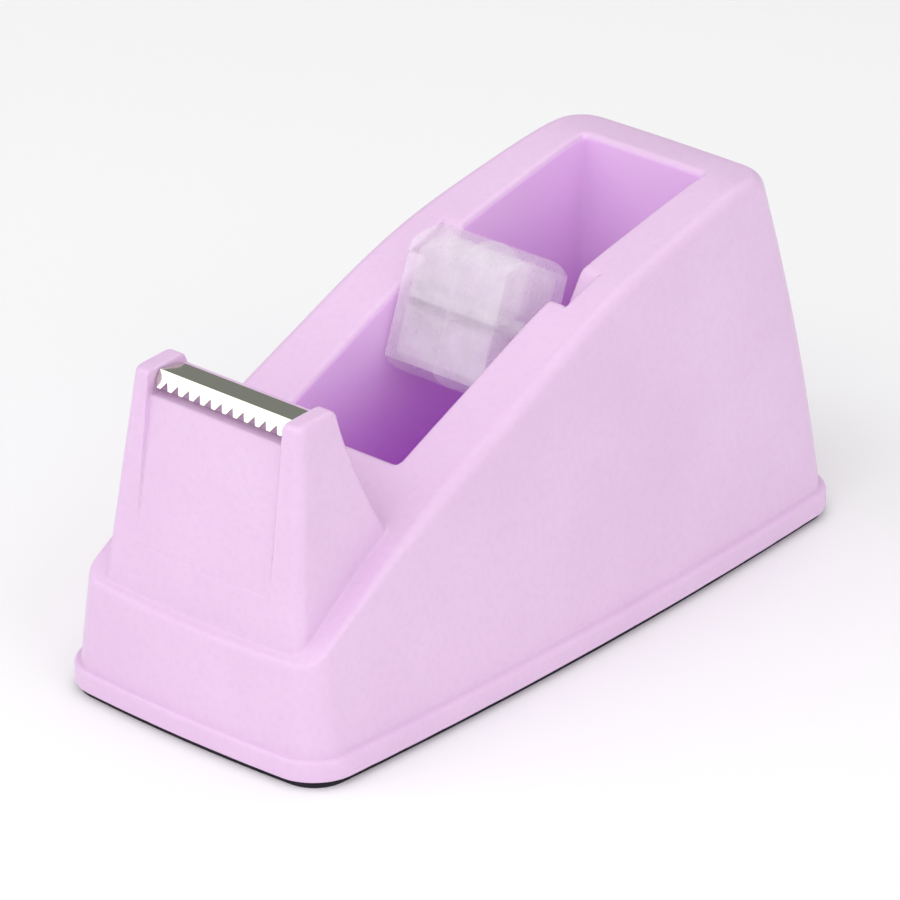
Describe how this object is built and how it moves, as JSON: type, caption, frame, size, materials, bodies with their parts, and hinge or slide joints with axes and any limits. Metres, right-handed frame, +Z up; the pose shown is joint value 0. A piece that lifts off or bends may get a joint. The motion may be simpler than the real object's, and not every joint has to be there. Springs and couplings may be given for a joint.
{
  "type": "desk tape dispenser",
  "caption": "Weighted desk tape dispenser with a long sweeping moulded shell, deep tape well, lift-out clear core hub, front post with two ears and a toothed steel cutter.",
  "frame": {"origin": "centre of the footprint on the table, under the grip pad", "axes": "+X to the right seen from the blade end, +Y towards the tall rear, blade at -Y, +Z up"},
  "size_m": [0.0608, 0.134, 0.064],
  "materials": {
    "shell_plastic": "satin gloss",
    "cover_plastic": "matte",
    "pad_rubber": "matte foam rubber",
    "screw_steel": "zinc plated",
    "blade_steel": "polished",
    "clear_plastic": "clear moulded plastic",
    "ballast_iron": "raw"
  },
  "bodies": {
    "base": {"shell": "shell_plastic", "base_cover": "cover_plastic", "grip_pad": "pad_rubber", "cover_screws": "screw_steel", "blade": "blade_steel", "ballast_front": "ballast_iron", "ballast_plate": "ballast_iron", "ballast_rear": "ballast_iron"},
    "axle": {"hub_axle": "clear_plastic"},
    "hub": {"hub_half_right": "clear_plastic", "hub_half_left": "clear_plastic"}
  },
  "joints": [
    {"name": "core_lift", "type": "slide", "parent": "base", "child": "axle", "axis": [0, 0.5299, 0.848], "range_m": [0, 0.04]},
    {"name": "core_spin", "type": "hinge", "parent": "axle", "child": "hub", "pos_m": [-0.0017, 0.0057, 0.048], "axis": [1, 0, 0], "continuous": true}
  ]
}
